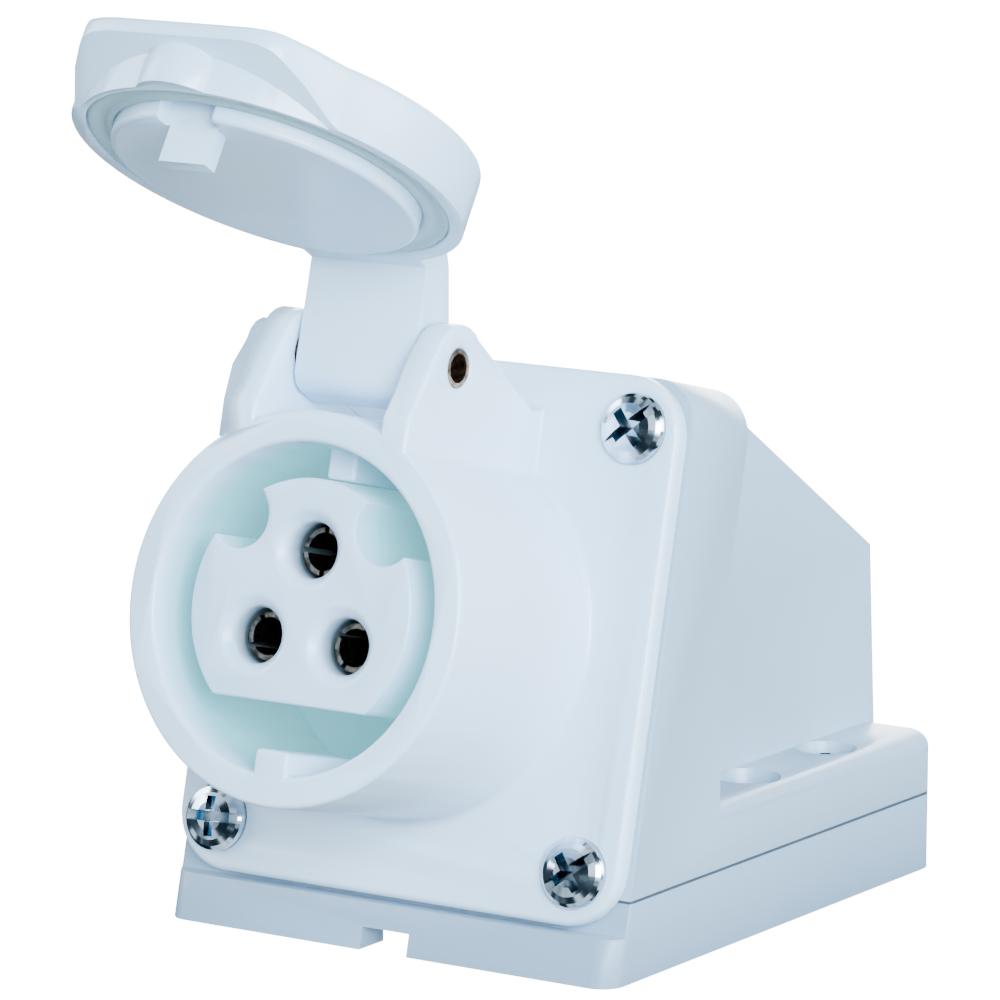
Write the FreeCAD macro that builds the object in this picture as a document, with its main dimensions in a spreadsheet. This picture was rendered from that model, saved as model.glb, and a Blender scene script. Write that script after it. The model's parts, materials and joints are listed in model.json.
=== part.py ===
import FreeCAD, Part
import math
import os
import re
import Sketcher
from FreeCAD import Placement, Rotation, Vector

# Industrial wall socket for extra-low voltage, surface mounted.
# Millimetres. The origin is the centre of the wall face, +Z points away from the wall,
# the plug side looks towards -Y, and +X is to the right of someone facing the socket.

doc = FreeCAD.newDocument("wall_socket")
sheet = doc.addObject("Spreadsheet::Sheet", "dims")

# Driving dimensions
sizes = {
    # base plate and the outline that the housing shares with it
    "base_wid": 71, "base_len": 85, "base_high": 10.8, "base_wall": 2.4, "deck_thick": 2.6,
    "corner_round": 3.3, "lean": 13.6, "notch_wid": 7.4, "notch_high": 3,
    "entry_wid": 22, "entry_len": 16, "entry_y": 12, "rib_thick": 1.6,
    # housing
    "ledge_high": 19.6, "ledge_round": 2.6, "shell_wall": 2.4, "ledge_wid": 9.9, "body_lean": 1.4,
    "head_deep": 14, "head_knee": 40, "slope_start": 44, "slope_end_high": 44, "body_drop": 0.8,
    "head_corner": 6.5, "head_floor": 13.4, "post_rad": 4.8, "room_foot": 12,
    # holes through the side ledges
    "ledge_reach": 3.7, "cover_in": 20, "cover_bore": 4.2, "cover_sink": 3.2,
    "fix_in": 41, "fix_bore": 4.6, "fix_hole": 2.6, "fix_sink": 5,
    # front panel, measured up its own slope
    "panel_inset": 0.5, "panel_tall": 72, "panel_thick": 3, "panel_front": 0.9, "panel_foot": 7.5,
    "panel_corner": 8.2, "screw_in_x": 6.6, "screw_in_y": 7, "panel_soft": 1,
    # collar
    "collar_rad": 25.6, "collar_bore": 21.5, "collar_high": 31, "collar_foot": 1.2,
    "key_wid": 5.2, "key_face": 18.2, "aux_wid": 4.4, "aux_face": 17.1, "aux_top": 24,
    # contact carrier
    "insert_rad": 17, "insert_high": 29.1, "insert_flat": 12.2, "bite_rad": 4.4, "bite_ring": 15.9,
    "floor_high": 1, "pin_ring": 7.8, "pin_hole": 3.65, "dish_deep": 1.4, "carrier_rad": 25.2,
    "carrier_flange": 2.5, "block_rad": 16.5, "block_deep": 9.5, "carrier_ring": 23.5,
    "carrier_play": 0.05, "flange_play": 0.2,
    # contacts
    "tube_rad": 3.15, "tube_bore": 2.5, "tube_top": 25.2, "tube_deep": 17, "slit_wid": 0.7,
    "slit_deep": 11, "band_high": 6, "lug_wid": 7, "lug_long": 7.5, "wire_hole": 1.6,
    "wire_room": 4.4,
    # hinge
    "hinge_up": 33.3, "hinge_out": 20.7, "ear_in": 9.8, "ear_thick": 4.2, "ear_root": 20.9,
    "ear_flat": 25.8, "ear_fall": 1.7, "ear_back": 30, "ear_step": 2.4, "boss_rad": 5.7,
    "boss_front": 6.8, "cheek_drop": 3.1, "slit_long": 3.4, "slit_tall": 1, "pin_rad": 2.5,
    "pin_bore": 1.9, "pin_play": 0.05, "pin_recess": 0.3, "cheek_thick": 3,
    # lid
    "lid_rad": 25.8, "skirt_wall": 1.9, "lid_high": 8.4, "lid_gap": 0.3, "groove_deep": 3.6,
    "plateau_rad": 20.2, "plateau_drop": 1.8, "lid_angle": 107.8, "arm_wid": 18,
    "barrel_rad": 5.5, "dish_rad": 17, "dish_deep_out": 3.2,
    "lip_out": 26.9, "lip_side": 15.4, "lip_edge": 6.3, "scoop_rad": 24.7, "scoop_start": 15.9,
    "nose_wid": 7, "nose_out": 17.3, "nose_thick": 2.4, "nose_end": 6.6, "nose_notch": 8.4,
    "bulge_rad": 6.5, "bulge_out": 20.2, "bulge_high": 7.2,
    "lid_soft": 1.2, "seal_face": 0.1, "seal_play": 0.05,
    "spring_wire": 0.6, "spring_pitch": 0.9, "spring_turns": 5, "spring_play": 0.5,
    # fasteners
    "head_rad": 4.7, "head_high": 2.2, "shank_rad": 2.2, "shank_long": 12, "panel_shank": 9,
    "pilot_play": 0.05, "clear_play": 0.5,
    "cover_head": 3.8, "front_screw_side": 7.6, "front_screw_in": 15.5,
    "small_head": 2.1, "small_shank": 1.25, "small_long": 8, "recess_wid": 1.4, "recess_deep": 1.7,
    # cable inlet
    "inlet_rad": 10, "inlet_high": 31, "membrane": 1,
}
for row, (alias, amount) in enumerate(sizes.items(), start=1):
    sheet.set(f"A{row}", alias)
    sheet.set(f"B{row}", str(amount))
    sheet.setAlias(f"B{row}", alias)
doc.recompute()

# Lengths that follow from the driving ones, as formulas
formulas = {
    "half_len": "base_len / 2",
    # widths of the narrower body and of the panel
    "front_screw_x": "(body_wid / 2 - front_screw_side)",
    "ledge_pitch": "(body_wid + 2 * ledge_reach)",
    "body_wid": "(base_wid - 2 * ledge_wid)",
    "pitch_wid": "(panel_wid - 2 * screw_in_x)",
    "panel_wid": "(base_wid - 2 * panel_inset)",
    # places of the screws
    "cover_y": "(base_len / 2 - cover_in)",
    "fix_y": "(base_len / 2 - fix_in)",
    "front_screw_y": "(base_len / 2 - front_screw_in)",
    "pitch_tall": "(panel_tall - 2 * screw_in_y)",
    # depth of the housing's head behind the panel's front
    "back_depth": "(panel_thick + head_deep)",
    # foot of the panel's front face in the part's frame
    "foot_y": "panel_front - base_len / 2",
    # middle of the collar, measured up the panel
    "mid_up": "(panel_tall / 2)",
}


def dims(text):
    """Expand the named formulas, then point every size at the sheet."""
    for name, formula in formulas.items():
        text = re.sub(rf"\b{name}\b", f"({formula})", text)
    return re.sub(r"\b[a-z_]+\b", lambda m: f"dims.{m[0]}" if m[0] in sizes else m[0], text)


def value(text):
    return float(sheet.evalExpression(dims(text)))


def front_y(high, depth="0"):
    """Y of the plane that lies depth behind the panel's front face, at a height."""
    return f"(foot_y + (({high}) - panel_foot) * tan(lean) + ({depth}) / cos(lean))"


def slope_y(tall, depth):
    """Y of a point given up the panel and behind its front face."""
    return f"(foot_y + ({tall}) * sin(lean) + ({depth}) * cos(lean))"


def slope_z(tall, depth):
    return f"(panel_foot + ({tall}) * cos(lean) - ({depth}) * sin(lean))"


# Drawing helpers

def start_body(name):
    body = doc.addObject("PartDesign::Body", name)
    body.Label = name
    return body


def start_sketch(body, name, plane="XY", at="0"):
    sketch = body.newObject("Sketcher::SketchObject", name)
    support = [f for f in body.Origin.OriginFeatures if f.Role == f"{plane}_Plane"][0]
    sketch.AttachmentSupport = (support, [""])
    sketch.MapMode = "FlatFace"
    sketch.setExpression("AttachmentOffset.Base.z", dims(at))
    return sketch


def start_leaning(body, name, out="0"):
    """Sketch on a plane parallel to the panel, with its Y up the panel from the foot."""
    sketch = start_sketch(body, name)
    sketch.AttachmentOffset = Placement(Vector(0, 0, 0), Rotation(Vector(1, 0, 0), 1))
    sketch.setExpression("AttachmentOffset.Rotation.Angle", dims("90 - lean"))
    sketch.setExpression("AttachmentOffset.Base.y", dims(f"foot_y - ({out}) * cos(lean)"))
    sketch.setExpression("AttachmentOffset.Base.z", dims(f"panel_foot + ({out}) * sin(lean)"))
    return sketch


def pin_down(sketch, kind, geometry, point, text):
    """Tie one coordinate of a sketch point to the sheet."""
    index = sketch.addConstraint(Sketcher.Constraint(kind, -1, 1, geometry, point, value(text)))
    sketch.setExpression(f"Constraints[{index}]", dims(text))


def add_outline(sketch, corners):
    """Closed outline of straight edges through corners given as formulas."""
    points = [Vector(value(x), value(y), 0) for x, y in corners]
    first = sketch.GeometryCount
    count = len(points)
    for i in range(count):
        sketch.addGeometry(Part.LineSegment(points[i], points[(i + 1) % count]), False)
    for i in range(count):
        after = first + (i + 1) % count
        sketch.addConstraint(Sketcher.Constraint("Coincident", first + i, 2, after, 1))
    for i, (x, y) in enumerate(corners):
        pin_down(sketch, "DistanceX", first + i, 1, x)
        pin_down(sketch, "DistanceY", first + i, 1, y)


def add_circle(sketch, x, y, radius):
    circle = Part.Circle(Vector(value(x), value(y), 0), Vector(0, 0, 1), value(radius))
    index = sketch.addGeometry(circle, False)
    pin_down(sketch, "DistanceX", index, 3, x)
    pin_down(sketch, "DistanceY", index, 3, y)
    rad = sketch.addConstraint(Sketcher.Constraint("Radius", index, value(radius)))
    sketch.setExpression(f"Constraints[{rad}]", dims(radius))


def box_corners(x0, x1, y0, y1):
    return [(x0, y0), (x1, y0), (x1, y1), (x0, y1)]


def rounded_corners(x, y0, y1, low_round, top_round):
    """Outline from -x to x and y0 to y1, its corners turned in short steps."""
    corners = []
    quarters = [("1", low_round, y0, 270), ("1", top_round, y1, 0),
                ("-1", top_round, y1, 90), ("-1", low_round, y0, 180)]
    for side, turn, y, start in quarters:
        up = "1" if y == y0 else "-1"
        for step in range(7):
            angle = start + 15 * step
            corners.append((
                f"{side} * (({x}) - ({turn})) + ({turn}) * cos({angle})",
                f"({y}) + {up} * ({turn}) + ({turn}) * sin({angle})"))
    return corners


def pad(body, sketch, length, symmetric=False):
    feature = body.newObject("PartDesign::Pad", f"{sketch.Name}_pad")
    feature.Profile = sketch
    feature.SideType = "Symmetric" if symmetric else "One side"
    feature.setExpression("Length", dims(length))
    sketch.Visibility = False
    return feature


def pocket(body, sketch, depth=None, symmetric=False, up=False):
    """Cut a sketch downwards, or upwards, by a depth or right through."""
    doc.recompute()
    feature = body.newObject("PartDesign::Pocket", f"{sketch.Name}_cut")
    feature.Profile = sketch
    if depth is None:
        feature.Type = "ThroughAll"
    else:
        feature.setExpression("Length", dims(depth))
    feature.SideType = "Symmetric" if symmetric else "One side"
    feature.Reversed = up
    sketch.Visibility = False
    return feature


def revolve(body, sketch, axis="V_Axis"):
    feature = body.newObject("PartDesign::Revolution", f"{sketch.Name}_turn")
    feature.Profile = sketch
    feature.ReferenceAxis = (sketch, [axis])
    feature.Angle = 360
    sketch.Visibility = False
    return feature


def soften(body, radius, chosen, kind="Fillet"):
    """Round, or chamfer, the edges of the tip whose middle and ends pass a test."""
    doc.recompute()
    base = body.Tip
    names = []
    for i, edge in enumerate(base.Shape.Edges, start=1):
        low, high = edge.ParameterRange
        middle = edge.valueAt((low + high) / 2)
        ends = [v.Point for v in edge.Vertexes]
        if chosen(middle, ends, edge):
            names.append(f"Edge{i}")
    feature = body.newObject(f"PartDesign::{kind}", f"{body.Name}_{kind.lower()}")
    feature.Base = (base, names)
    feature.setExpression("Radius" if kind == "Fillet" else "Size", dims(radius))
    return feature


def near(a, b, tolerance=0.02):
    return abs(a - b) < tolerance


def along(ends, axis):
    """True where an edge's ends differ only along one axis, 0, 1 or 2."""
    if len(ends) < 2:
        return False
    gap = ends[1] - ends[0]
    return all(near(gap[k], 0) for k in range(3) if k != axis)


def is_circle(edge, high, radius):
    """True for a level circle at a height and with a radius given as formulas."""
    return (edge.Curve.TypeId == "Part::GeomCircle" and near(edge.Curve.Radius, value(radius))
            and near(edge.Curve.Center.z, value(high)))


def seat_on_panel(body, up="0", out="0"):
    """Stand a body on the panel: its Y runs up the panel and its Z out of it."""
    body.Placement = Placement(Vector(0, 0, 0), Rotation(Vector(1, 0, 0), value("90 - lean")))
    body.setExpression("Placement.Rotation.Angle", dims("90 - lean"))
    body.setExpression("Placement.Base.y", dims(f"foot_y + ({up}) * sin(lean) - ({out}) * cos(lean)"))
    body.setExpression("Placement.Base.z", dims(f"panel_foot + ({up}) * cos(lean) + ({out}) * sin(lean)"))


# Places that several pieces share

cover_spots = [
    ("-ledge_pitch / 2", "cover_y"), ("ledge_pitch / 2", "cover_y"),
    ("-front_screw_x", "-front_screw_y"), ("front_screw_x", "-front_screw_y"),
]
fixing_spots = [("-ledge_pitch / 2", "fix_y"), ("ledge_pitch / 2", "fix_y")]
panel_spots = [
    (f"{x}pitch_wid / 2", f"mid_up {y} pitch_tall / 2") for y in "-+" for x in ("-", "")
]
contact_angles = {"top": 90, "left": 210, "right": 330}
carrier_angles = [90, 210, 330]
# the way each panel screw's slot points, in degrees from level
screw_turns = [2, 38, 10, 42]


# Base plate

def make_base_plate():
    body = start_body("base_plate")
    edge = start_sketch(body, "base_side", "YZ")
    step_high = "(panel_foot - 1.2)"
    add_outline(edge, [
        ("-half_len", "0"), ("half_len", "0"), ("half_len", "base_high"),
        (front_y("base_high", "panel_thick + 0.15"), "base_high"),
        (front_y(step_high, "panel_thick + 0.15"), step_high),
        (f"-half_len + {step_high} * tan(lean)", step_high),
    ])
    pad(body, edge, "base_wid", symmetric=True)
    soften(body, "corner_round", lambda mid, ends, e: near(abs(mid.x), value("base_wid / 2"))
           and (along(ends, 2) or near(mid.z, value(step_high) / 2)))
    # the open underside
    under = start_sketch(body, "base_under", "XY")
    half = "base_wid / 2 - base_wall"
    add_outline(under, box_corners(f"-({half})", half, "-half_len + base_wall + 3.4", "half_len - base_wall"))
    pocket(body, under, "base_high - deck_thick", up=True)
    # ribs and screw posts stand inside
    ribs = start_sketch(body, "base_ribs", "XY")
    for y in ("0", "entry_y + entry_len / 2 + 2"):
        add_outline(ribs, box_corners(
            f"-({half}) - 0.2", f"{half} + 0.2", f"{y} - rib_thick / 2", f"{y} + rib_thick / 2"))
    pad(body, ribs, "base_high - deck_thick / 2")
    posts = start_sketch(body, "base_posts", "XY")
    for x, y in cover_spots:
        add_circle(posts, x, y, "shank_rad + 2.2")
    for x, y in fixing_spots:
        add_circle(posts, x, y, "fix_hole + 2")
    pad(body, posts, "base_high - deck_thick / 2")
    holes = start_sketch(body, "base_screw_holes", "XY")
    for x, y in cover_spots:
        add_circle(holes, x, y, "shank_rad + pilot_play")
    for x, y in fixing_spots:
        add_circle(holes, x, y, "fix_hole")
    pocket(body, holes, up=True)
    entry = start_sketch(body, "base_entry", "XY")
    add_outline(entry, box_corners(
        "-entry_wid / 2", "entry_wid / 2", "entry_y - entry_len / 2", "entry_y + entry_len / 2"))
    pocket(body, entry, up=True)
    notch = start_sketch(body, "base_notch", "XZ", "half_len - 8")
    add_outline(notch, box_corners("-notch_wid / 2", "notch_wid / 2", "-1", "notch_high"))
    pocket(body, notch, "12", up=True)
    groove = start_sketch(body, "base_seal_groove", "XY", "base_high")
    add_ring(groove, "0.02")
    pocket(body, groove, "1")
    # room for the tips of the panel's lower screws
    tips = start_leaning(body, "screw_tip_room")
    for x, y in panel_spots[:2]:
        add_circle(tips, x, y, "shank_rad + clear_play")
    pocket(body, tips, "panel_shank + 1.2")
    return body


def add_ring(sketch, play):
    """Ring that follows the rim of base plate and housing."""
    front = f"{front_y('base_high', 'panel_thick')} + 1.2"
    for inset in (f"(1 - {play})", f"(2 + {play})"):
        add_outline(sketch, rounded_corners(
            f"base_wid / 2 - {inset}", f"{front} + {inset} - 1", f"half_len - {inset}",
            f"corner_round - {inset} + 0.3", f"corner_round - {inset} + 0.3"))


def make_base_seal():
    body = start_body("base_seal")
    ring = start_sketch(body, "base_seal_ring", "XY", "base_high - 1")
    add_ring(ring, "0")
    pad(body, ring, "1")
    return body


# Housing

def make_housing():
    body = start_body("housing")
    # flange with the two side ledges
    flange = start_sketch(body, "flange_side", "YZ")
    add_outline(flange, [
        (front_y("base_high", "panel_thick"), "base_high"), ("half_len", "base_high"),
        ("half_len", "ledge_high"), (front_y("ledge_high", "panel_thick"), "ledge_high"),
    ])
    pad(body, flange, "base_wid", symmetric=True)
    soften(body, "corner_round", lambda mid, ends, e: along(ends, 2) and near(mid.y, value("half_len")))
    soften(body, "ledge_round", lambda mid, ends, e: near(mid.z, value("ledge_high"))
           and mid.y > value(front_y("ledge_high", "panel_thick")) + 1)
    # body, narrower than its base, its sides drafted and its back sloped above
    trunk = start_sketch(body, "body_plan", "XY", "base_high")
    add_outline(trunk, box_corners(
        "-body_wid / 2", "body_wid / 2", slope_y("panel_tall", "panel_thick + 2"), "half_len"))
    pad(body, trunk, slope_z("panel_tall", "0") + " - base_high")
    body.Tip.setExpression("TaperAngle", dims("-body_lean"))
    slope = start_sketch(body, "body_slope", "YZ")
    top_depth = "(slope_start - panel_front - panel_tall * sin(lean)) / cos(lean)"
    roof = "panel_tall - body_drop"
    add_outline(slope, [
        (slope_y(roof, "panel_thick") + " - 9", slope_z(roof, "panel_thick")),
        ("slope_start - half_len", slope_z(roof, top_depth)),
        ("half_len", "slope_end_high"), ("half_len + 9", "slope_end_high"),
        ("half_len + 9", slope_z("panel_tall + 9", "0")),
        (slope_y(roof, "panel_thick") + " - 9", slope_z("panel_tall + 9", "0")),
    ])
    pocket(body, slope, "base_wid", symmetric=True)
    # head, a frame as large as the panel
    head = start_sketch(body, "head_side", "YZ")
    add_outline(head, [
        (front_y("base_high", "panel_thick"), "base_high"),
        (slope_y("panel_tall", "panel_thick"), slope_z("panel_tall", "panel_thick")),
        (slope_y("panel_tall", "back_depth"), slope_z("panel_tall", "back_depth")),
        (slope_y("head_knee", "back_depth"), slope_z("head_knee", "back_depth")),
        (slope_y("head_knee", "back_depth"), "base_high"),
    ])
    pad(body, head, "base_wid", symmetric=True)
    top_z = value(slope_z("panel_tall", "back_depth"))
    soften(body, "head_corner", lambda mid, ends, e: near(abs(mid.x), value("base_wid / 2"))
           and mid.z > top_z - 0.1)
    # inside of the head: a deep middle, and full width between the screw posts
    middle = start_sketch(body, "head_middle", "YZ")
    ceiling = "panel_tall - shell_wall"
    back_wall = "back_depth - shell_wall"
    add_outline(middle, [
        (slope_y("room_foot", "0"), slope_z("room_foot", "0")),
        (slope_y(ceiling, "0"), slope_z(ceiling, "0")),
        (slope_y(ceiling, back_wall), slope_z(ceiling, back_wall)),
        (slope_y("head_knee", back_wall), slope_z("head_knee", back_wall)),
        (slope_y("head_knee", back_wall), "head_floor"),
        (front_y("head_floor", "panel_thick + 4"), "head_floor"),
        (slope_y("room_foot", "panel_thick + 4"), slope_z("room_foot", "panel_thick + 4")),
    ])
    pocket(body, middle, "pitch_wid - 2 * post_rad", symmetric=True)
    wide = start_leaning(body, "head_wide")
    add_outline(wide, box_corners(
        "-(base_wid / 2 - shell_wall)", "base_wid / 2 - shell_wall",
        "mid_up - pitch_tall / 2 + post_rad", "mid_up + pitch_tall / 2 - post_rad"))
    pocket(body, wide, back_wall)
    # inside of the body, open at the bottom
    room = start_sketch(body, "body_inside", "YZ")
    roof = "panel_tall - body_drop - shell_wall"
    add_outline(room, [
        (slope_y("head_knee", back_wall) + " - 0.5", "base_high - 1"),
        (slope_y("head_knee", back_wall) + " - 0.5", slope_z("head_knee", "back_depth")),
        (slope_y(roof, back_wall) + " - 0.5", slope_z(roof, "back_depth")),
        ("slope_start - half_len - shell_wall * 0.4", slope_z(roof, top_depth)),
        ("half_len - shell_wall", "slope_end_high - shell_wall * 0.6"),
        ("half_len - shell_wall", "base_high - 1"),
    ])
    pocket(body, room, "body_wid - 2 * (shell_wall + slope_end_high * tan(body_lean))", symmetric=True)
    # hollows under the ledges
    hollow = start_sketch(body, "ledge_hollows", "XY", "base_high - 1")
    for side in ("-", ""):
        inner = f"{side}(body_wid / 2 + 0.6)"
        outer = f"{side}(base_wid / 2 - shell_wall)"
        for near_end, far_end in [("fix_y - 15", "fix_y - 7"), ("fix_y + 6.5", "cover_y - 6.5"),
                                  ("cover_y + 6", "half_len - shell_wall - 0.8")]:
            add_outline(hollow, box_corners(inner, outer, near_end, far_end))
    pocket(body, hollow, "ledge_high - base_high - shell_wall + 1", up=True)
    # sunk holes in the ledges
    cover = start_sketch(body, "cover_holes", "XY", "base_high - 1")
    for x, y in cover_spots:
        add_circle(cover, x, y, "shank_rad + 0.3")
    for x, y in fixing_spots:
        add_circle(cover, x, y, "fix_hole")
    pocket(body, cover, "ledge_high", up=True)
    sunk = start_sketch(body, "cover_bores", "XY", "ledge_high")
    for x, y in cover_spots[:2]:
        add_circle(sunk, x, y, "cover_bore")
    pocket(body, sunk, "cover_sink")
    fixing = start_sketch(body, "fixing_bores", "XY", "ledge_high")
    for x, y in fixing_spots:
        add_circle(fixing, x, y, "fix_bore")
    pocket(body, fixing, "fix_sink")
    # holes for the panel screws, the groove of the panel seal and the cable inlet
    pilots = start_leaning(body, "panel_pilots")
    for x, y in panel_spots:
        add_circle(pilots, x, y, "shank_rad + pilot_play")
    pocket(body, pilots, "panel_shank + 0.8")
    groove = start_leaning(body, "panel_seal_groove")
    add_panel_ring(groove, "0.02")
    pocket(body, groove, "panel_thick + 1")
    inlet = start_sketch(body, "cable_inlet", "XZ", "-half_len - 1")
    add_circle(inlet, "0", "inlet_high", "inlet_rad")
    pocket(body, inlet, "shell_wall + 2", up=True)
    return body


def add_panel_ring(sketch, play):
    """Ring between panel and housing, outside the upper and inside the lower screws."""
    for inset in (f"(0.8 - {play})", f"(1.8 + {play})"):
        add_outline(sketch, rounded_corners(
            f"panel_wid / 2 - {inset}", f"mid_up - pitch_tall / 2 + shank_rad + 0.3 + {inset}",
            f"panel_tall - {inset}", "1.2", f"panel_corner - {inset}"))


def make_panel_seal():
    body = start_body("panel_seal")
    ring = start_sketch(body, "panel_seal_ring", "XY", "-panel_thick - 1")
    add_panel_ring(ring, "0")
    pad(body, ring, "1")
    seat_on_panel(body)
    return body


# Socket shell: panel, collar, keys and hinge ears in one moulding

def make_shell():
    body = start_body("socket_shell")
    plate = start_sketch(body, "panel_outline", "XY", "-panel_thick")
    add_outline(plate, box_corners("-panel_wid / 2", "panel_wid / 2", "0", "panel_tall"))
    pad(body, plate, "panel_thick")
    soften(body, "panel_corner", lambda mid, ends, e: along(ends, 2))
    soften(body, "panel_soft", lambda mid, ends, e: near(mid.z, 0))
    collar = start_sketch(body, "collar_round")
    add_circle(collar, "0", "mid_up", "collar_rad")
    pad(body, collar, "collar_high")
    soften(body, "collar_foot", lambda mid, ends, e: is_circle(e, "0", "collar_rad"))
    for name, side in (("left", "-"), ("right", "")):
        start = "-ear_in - ear_thick" if side else "ear_in"
        ear = start_sketch(body, f"{name}_ear", "YZ", start)
        add_outline(ear, [
            ("mid_up + ear_root", "-panel_thick / 2"), ("mid_up + ear_root", "collar_high"),
            ("mid_up + ear_flat", "collar_high"),
            ("mid_up + hinge_up - boss_front * 0.65", "collar_high - ear_fall"),
            ("mid_up + hinge_up", "hinge_out + boss_front"),
        ] + boss_points("boss_rad", range(54, -46, -14)) + [
            ("mid_up + ear_back", "ear_step"), ("mid_up + ear_back", "-panel_thick / 2"),
        ])
        pad(body, ear, "ear_thick")
    cheek = start_sketch(body, "left_cheek", "YZ", "-ear_in - ear_thick - cheek_thick")
    add_outline(cheek, [
        ("mid_up + ear_root", "-panel_thick / 2"), ("mid_up + ear_root", "collar_high - cheek_drop"),
        ("mid_up + ear_flat", "collar_high - cheek_drop"),
        ("mid_up + hinge_up - boss_rad * 0.5", "collar_high - cheek_drop - ear_fall * 0.5"),
    ] + boss_points("boss_rad * 0.7", range(80, -30, -22)) + [
        ("mid_up + ear_back - 1.4", "ear_step + 1.1"), ("mid_up + ear_back - 1.4", "-panel_thick / 2"),
    ])
    pad(body, cheek, "cheek_thick")
    slit = start_sketch(body, "cheek_slit", "YZ", "-ear_in - ear_thick - cheek_thick - 1")
    add_outline(slit, box_corners(
        "mid_up + hinge_up - boss_rad", "mid_up + hinge_up - boss_rad + slit_long",
        "hinge_out + boss_rad * 0.6", "hinge_out + boss_rad * 0.6 + slit_tall"))
    pocket(body, slit, "2.2", up=True)
    bore = start_sketch(body, "collar_inside", "XY", "collar_high + 1")
    add_circle(bore, "0", "mid_up", "collar_bore")
    pocket(body, bore)
    keys = start_sketch(body, "main_key")
    add_outline(keys, box_corners(
        "-key_wid / 2", "key_wid / 2", "mid_up - collar_bore - 1.5", "mid_up - key_face"))
    pad(body, keys, "collar_high")
    rib = start_sketch(body, "auxiliary_key")
    add_outline(rib, box_corners(
        "-aux_wid / 2", "aux_wid / 2", "mid_up + aux_face", "mid_up + collar_bore + 1.5"))
    pad(body, rib, "aux_top")
    room = start_sketch(body, "carrier_seat", "XY")
    add_circle(room, "0", "mid_up", "collar_bore")
    pocket(body, room, "panel_thick + 1")
    seat = start_sketch(body, "carrier_floor_seat", "XY", "floor_high + carrier_play")
    add_circle(seat, "0", "mid_up", "collar_bore")
    pocket(body, seat, "panel_thick + 2")
    hinge = start_sketch(body, "ear_holes", "YZ", "20")
    add_circle(hinge, "mid_up + hinge_up", "hinge_out", "pin_rad + pin_play")
    pocket(body, hinge, "40")
    holes = start_sketch(body, "panel_holes", "XY", "1")
    for x, y in panel_spots:
        add_circle(holes, x, y, "shank_rad + 0.4")
    pocket(body, holes)
    pilots = start_sketch(body, "carrier_pilots", "XY", "-panel_thick")
    for angle in carrier_angles:
        add_circle(pilots, f"carrier_ring * cos({angle})", f"mid_up + carrier_ring * sin({angle})",
                   "small_shank + pilot_play")
    pocket(body, pilots, "small_long", up=True)
    seat_on_panel(body)
    return body


def boss_points(radius, angles):
    """Points round the hinge axis, in degrees from the way up the panel."""
    return [(f"mid_up + hinge_up + {radius} * cos({a})", f"hinge_out + {radius} * sin({a})")
            for a in angles]


# Contact carrier, its origin on the collar's axis in the panel's front plane

def make_carrier():
    body = start_body("contact_carrier")
    back = "-panel_thick - carrier_flange"
    flange = start_sketch(body, "carrier_flange_round", "XY", back)
    add_circle(flange, "0", "0", "carrier_rad")
    pad(body, flange, "carrier_flange - carrier_play")
    floor = start_sketch(body, "carrier_floor", "XY", back)
    add_circle(floor, "0", "0", "collar_bore - carrier_play")
    pad(body, floor, "carrier_flange + panel_thick + floor_high")
    foot = start_sketch(body, "flange_foot", "XY", back)
    add_outline(foot, box_corners(
        "-carrier_rad", "carrier_rad", "-mid_up - 1", "room_foot + flange_play - mid_up"))
    pocket(body, foot, "carrier_flange", up=True)
    post = start_sketch(body, "insert_round", "XY", back)
    add_circle(post, "0", "0", "insert_rad")
    pad(body, post, "carrier_flange + panel_thick + insert_high")
    block = start_sketch(body, "rear_block", "XY", f"{back} - block_deep")
    add_circle(block, "0", "0", "block_rad")
    pad(body, block, "block_deep + 0.5")
    flat = start_sketch(body, "insert_flat_cut", "XY", "insert_high + 1")
    add_outline(flat, box_corners("-insert_rad", "insert_rad", "-insert_rad - 1", "-insert_flat"))
    pocket(body, flat, "insert_high + 1 - floor_high")
    bites = start_sketch(body, "insert_bites", "XY", "insert_high + 1")
    for angle in (45, 135):
        add_circle(bites, f"bite_ring * cos({angle})", f"bite_ring * sin({angle})", "bite_rad")
    pocket(body, bites, "insert_high + 1 - floor_high")
    holes = start_sketch(body, "contact_holes", "XY", "insert_high + 1")
    for angle in contact_angles.values():
        add_circle(holes, f"pin_ring * cos({angle})", f"pin_ring * sin({angle})", "pin_hole")
    pocket(body, holes)
    soften(body, "dish_deep", lambda mid, ends, e: is_circle(e, "insert_high", "pin_hole"),
           kind="Chamfer")
    lugs = start_sketch(body, "lug_rooms", "XY", f"{back} - block_deep")
    for angle in contact_angles.values():
        half = "(lug_wid / 2 + pilot_play)"
        add_outline(lugs, turned_box(angle, f"pin_ring - {half}", f"pin_ring + {half}", half))
    pocket(body, lugs, "block_deep - 1", up=True)
    doors = start_sketch(body, "wire_doors", "XY", f"{back} - block_deep")
    for angle in contact_angles.values():
        add_outline(doors, turned_box(angle, "pin_ring", "block_rad + 1", "wire_room / 2"))
    pocket(body, doors, "block_deep - 2", up=True)
    screws = start_sketch(body, "carrier_screw_holes", "XY", "0")
    for angle in carrier_angles:
        add_circle(screws, f"carrier_ring * cos({angle})", f"carrier_ring * sin({angle})",
                   "small_shank + 0.2")
    pocket(body, screws)
    seat_on_panel(body, up="mid_up")
    return body


def turned_box(angle, near_end, far_end, half):
    """Box along a direction from the collar's axis."""
    corners = []
    for reach, side in ((near_end, "-"), (far_end, "-"), (far_end, ""), (near_end, "")):
        corners.append((
            f"({reach}) * cos({angle}) - ({side}({half})) * sin({angle})",
            f"({reach}) * sin({angle}) + ({side}({half})) * cos({angle})"))
    return corners


# Contacts, modelled round their own axis and turned into place

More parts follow.
